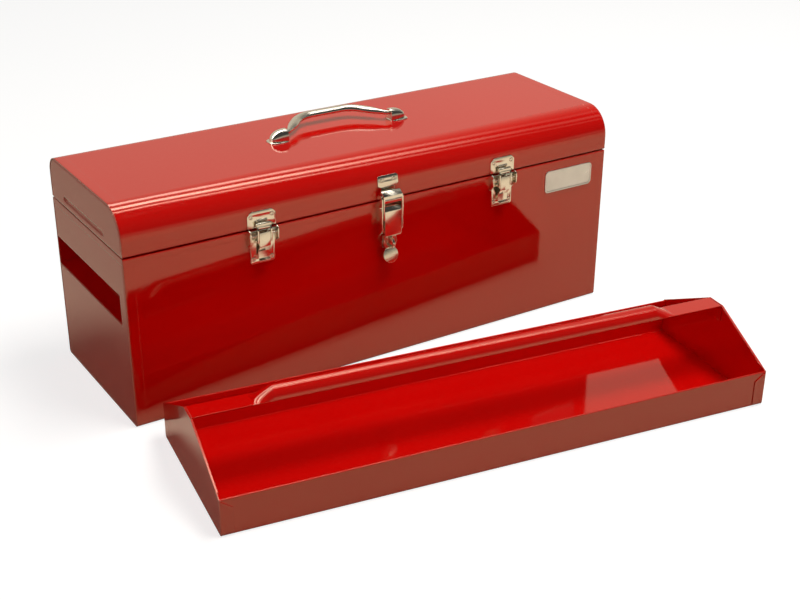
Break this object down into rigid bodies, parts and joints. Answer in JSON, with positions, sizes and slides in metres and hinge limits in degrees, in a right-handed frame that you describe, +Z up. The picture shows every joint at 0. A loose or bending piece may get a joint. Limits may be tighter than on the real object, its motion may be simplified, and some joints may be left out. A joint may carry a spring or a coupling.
{
  "type": "tool box",
  "caption": "Red sheet steel tool box with a curved hinged lid, draw latches, a padlock hasp, a bail handle and a lift-out tray with a carry bar.",
  "frame": {"origin": "centre of the box's rest face, on the floor", "axes": "+X to the right along the length, +Y to the hinge side, +Z up"},
  "size_m": [0.6252, 0.5116, 0.2559],
  "materials": {
    "red_paint": "glossy deep red enamel",
    "plated_steel": "bright warm nickel plating"
  },
  "bodies": {
    "box": {"body_wrap": "red_paint", "end_left": "red_paint", "end_right": "red_paint", "hinge_body_leaf": "red_paint", "hinge_pin": "plated_steel", "latch_base_left": "plated_steel", "latch_base_right": "plated_steel", "latch_pin_left": "plated_steel", "latch_pin_right": "plated_steel", "hasp_base": "plated_steel", "hasp_pin": "plated_steel", "padlock_staple": "plated_steel", "base_rivets": "plated_steel", "staple_rivets": "plated_steel"},
    "lid": {"lid_wrap": "red_paint", "lid_end_left": "red_paint", "lid_end_right": "red_paint", "hinge_lid_leaf": "red_paint", "strike_left": "plated_steel", "strike_right": "plated_steel", "hasp_strike": "plated_steel", "strike_rivets": "plated_steel", "handle_bracket_left": "plated_steel", "handle_bracket_right": "plated_steel", "bracket_rivets": "plated_steel"},
    "bail": {"handle": "plated_steel"},
    "lever_left": {"latch_lever_left": "plated_steel"},
    "lever_right": {"latch_lever_right": "plated_steel"},
    "loop_left": {"draw_loop_left": "plated_steel"},
    "loop_right": {"draw_loop_right": "plated_steel"},
    "hasp_catch": {"hasp_lever": "plated_steel"},
    "hasp_hood": {"hasp_link": "plated_steel"},
    "tray": {"tray_pan": "red_paint", "tray_end_left": "red_paint", "tray_end_right": "red_paint", "tray_bar": "red_paint"}
  },
  "joints": [
    {"name": "lid_hinge", "type": "hinge", "parent": "box", "child": "lid", "pos_m": [0, 0.102, 0.19125], "axis": [-1, 0, 0], "range_deg": [0, 105]},
    {"name": "handle_hinge", "type": "hinge", "parent": "lid", "child": "bail", "pos_m": [0, 0.005, 0.2488], "axis": [1, 0, 0], "range_deg": [0, 168]},
    {"name": "latch_left", "type": "hinge", "parent": "box", "child": "lever_left", "pos_m": [-0.153, -0.1046, 0.186], "axis": [-1, 0, 0], "range_deg": [0, 120]},
    {"name": "loop_left_turn", "type": "hinge", "parent": "lever_left", "child": "loop_left", "pos_m": [-0.153, -0.1023, 0.1785], "axis": [-1, 0, 0], "range_deg": [-120, 0]},
    {"name": "latch_right", "type": "hinge", "parent": "box", "child": "lever_right", "pos_m": [0.153, -0.1046, 0.186], "axis": [-1, 0, 0], "range_deg": [0, 120]},
    {"name": "loop_right_turn", "type": "hinge", "parent": "lever_right", "child": "loop_right", "pos_m": [0.153, -0.1023, 0.1785], "axis": [-1, 0, 0], "range_deg": [-120, 0]},
    {"name": "hasp_turn", "type": "hinge", "parent": "box", "child": "hasp_catch", "pos_m": [0, -0.107, 0.184], "axis": [-1, 0, 0], "range_deg": [0, 115]},
    {"name": "hood_turn", "type": "hinge", "parent": "hasp_catch", "child": "hasp_hood", "pos_m": [0, -0.1032, 0.1725], "axis": [-1, 0, 0], "range_deg": [-115, 0]},
    {"name": "tray_lift", "type": "slide", "parent": "box", "child": "tray", "axis": [0, 0, 1], "range_m": [0, 0.3]}
  ],
  "couplings": [
    {"joint": "loop_left_turn", "follows": "latch_left", "ratio": -1},
    {"joint": "loop_right_turn", "follows": "latch_right", "ratio": -1},
    {"joint": "hood_turn", "follows": "hasp_turn", "ratio": -1}
  ]
}
